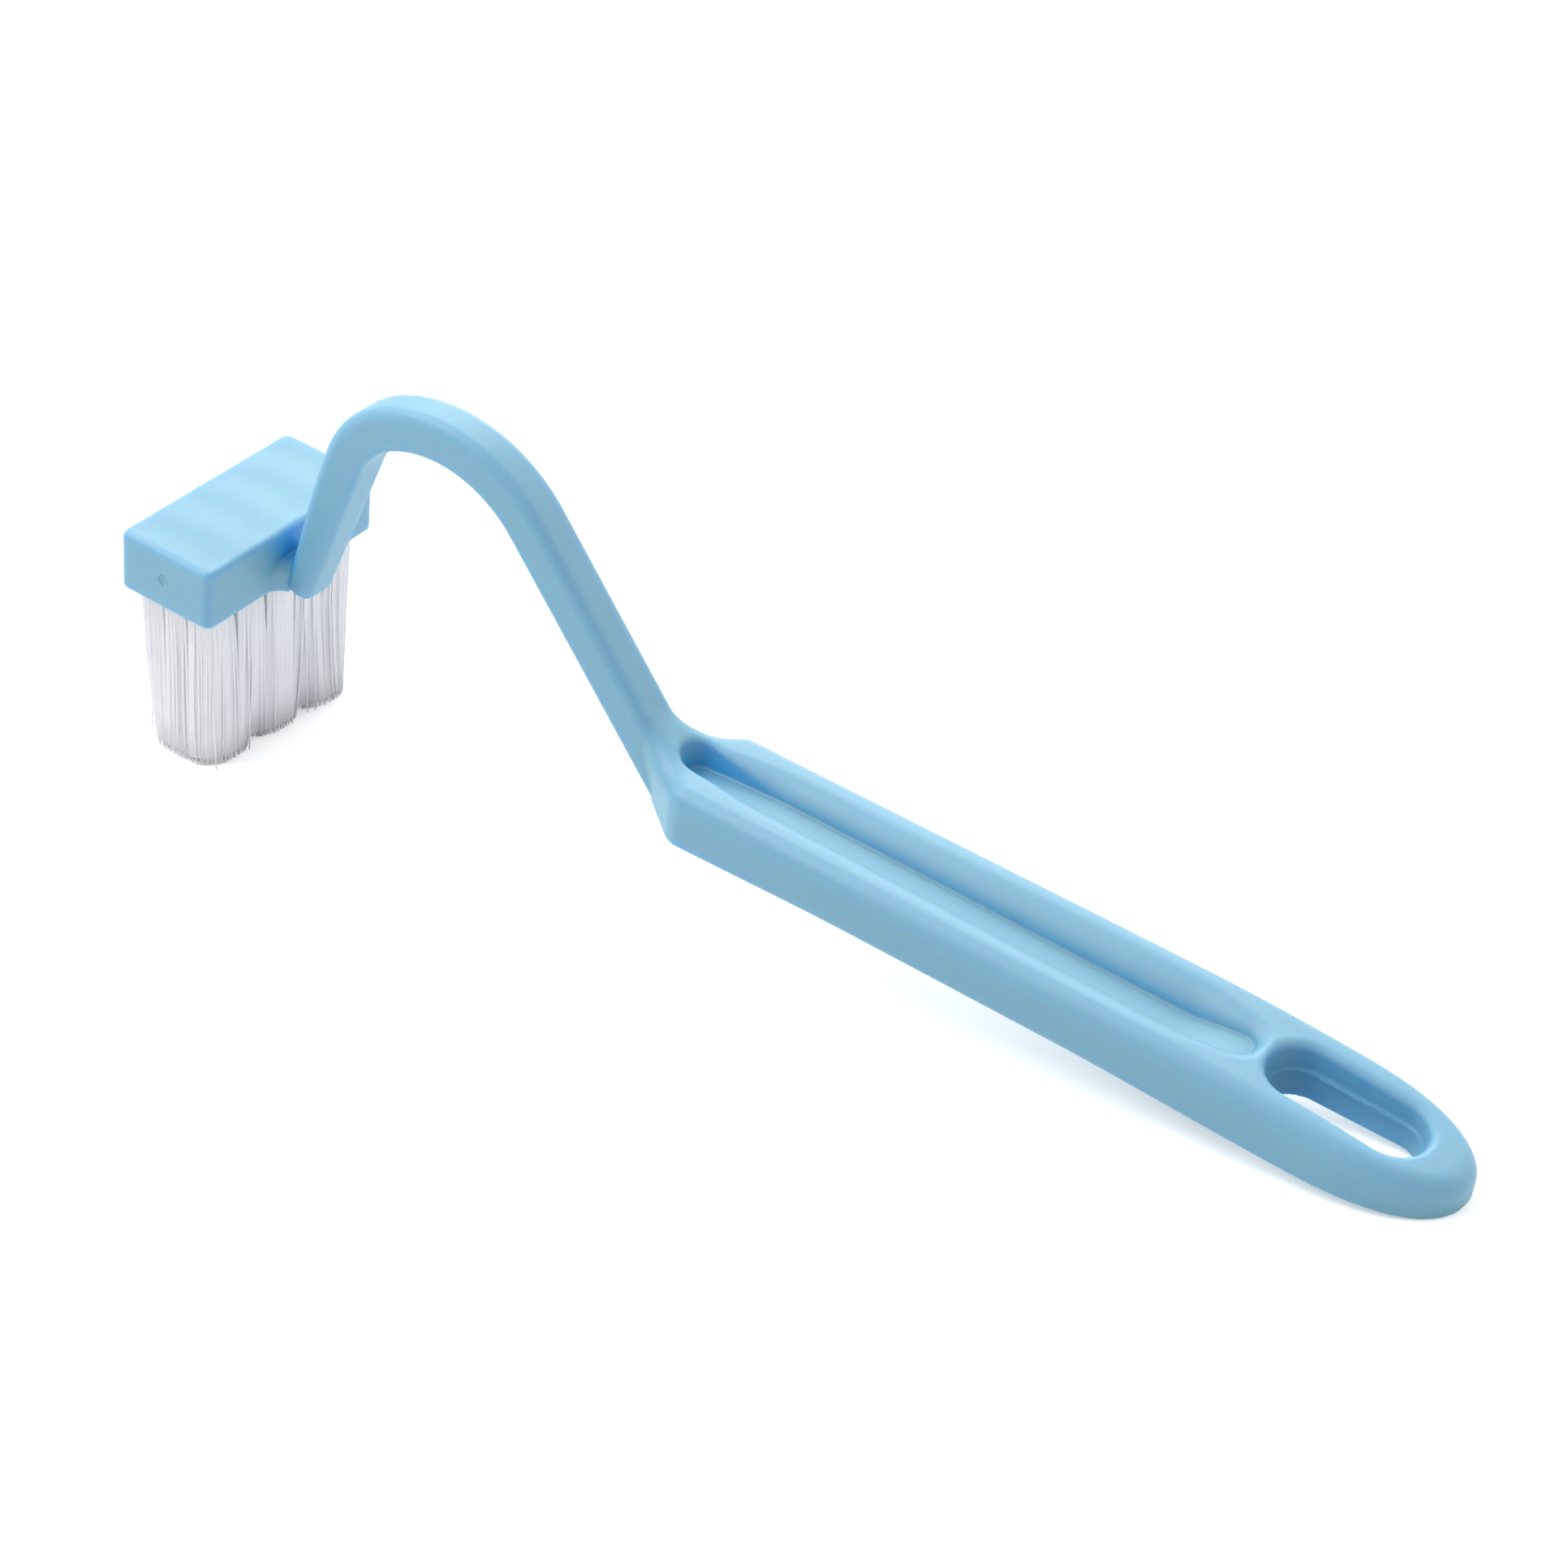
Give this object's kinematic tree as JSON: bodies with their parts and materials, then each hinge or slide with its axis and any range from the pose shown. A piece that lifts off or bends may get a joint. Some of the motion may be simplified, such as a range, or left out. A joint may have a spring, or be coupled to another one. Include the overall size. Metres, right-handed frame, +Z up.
{
  "type": "toilet brush",
  "caption": "Small hand toilet brush: flat grooved grip with a hang slot, thin arched neck and a short head of straight clear bristles, laid down on bristle tips and grip end.",
  "frame": {"origin": "on the table, under the middle of the resting brush's bounding box", "axes": "+X from the head towards the end of the grip, +Y across the head, +Z up from the table that the brush lies on"},
  "size_m": [0.214, 0.037, 0.0655],
  "materials": {
    "body_plastic": "smooth light blue polypropylene with a soft gloss",
    "bristle_nylon": "clear white nylon filament",
    "anchor_wire": "plain drawn wire"
  },
  "bodies": {
    "root": {"moulded_body": "body_plastic", "bristle_row_1": "bristle_nylon", "bristle_row_2": "bristle_nylon", "bristle_row_3": "bristle_nylon", "anchor_r1_c1": "anchor_wire", "anchor_r1_c2": "anchor_wire", "anchor_r1_c3": "anchor_wire", "anchor_r1_c4": "anchor_wire", "anchor_r1_c5": "anchor_wire", "anchor_r2_c1": "anchor_wire", "anchor_r2_c2": "anchor_wire", "anchor_r2_c3": "anchor_wire", "anchor_r2_c4": "anchor_wire", "anchor_r2_c5": "anchor_wire", "anchor_r3_c1": "anchor_wire", "anchor_r3_c2": "anchor_wire", "anchor_r3_c3": "anchor_wire", "anchor_r3_c4": "anchor_wire", "anchor_r3_c5": "anchor_wire"}
  },
  "joints": []
}
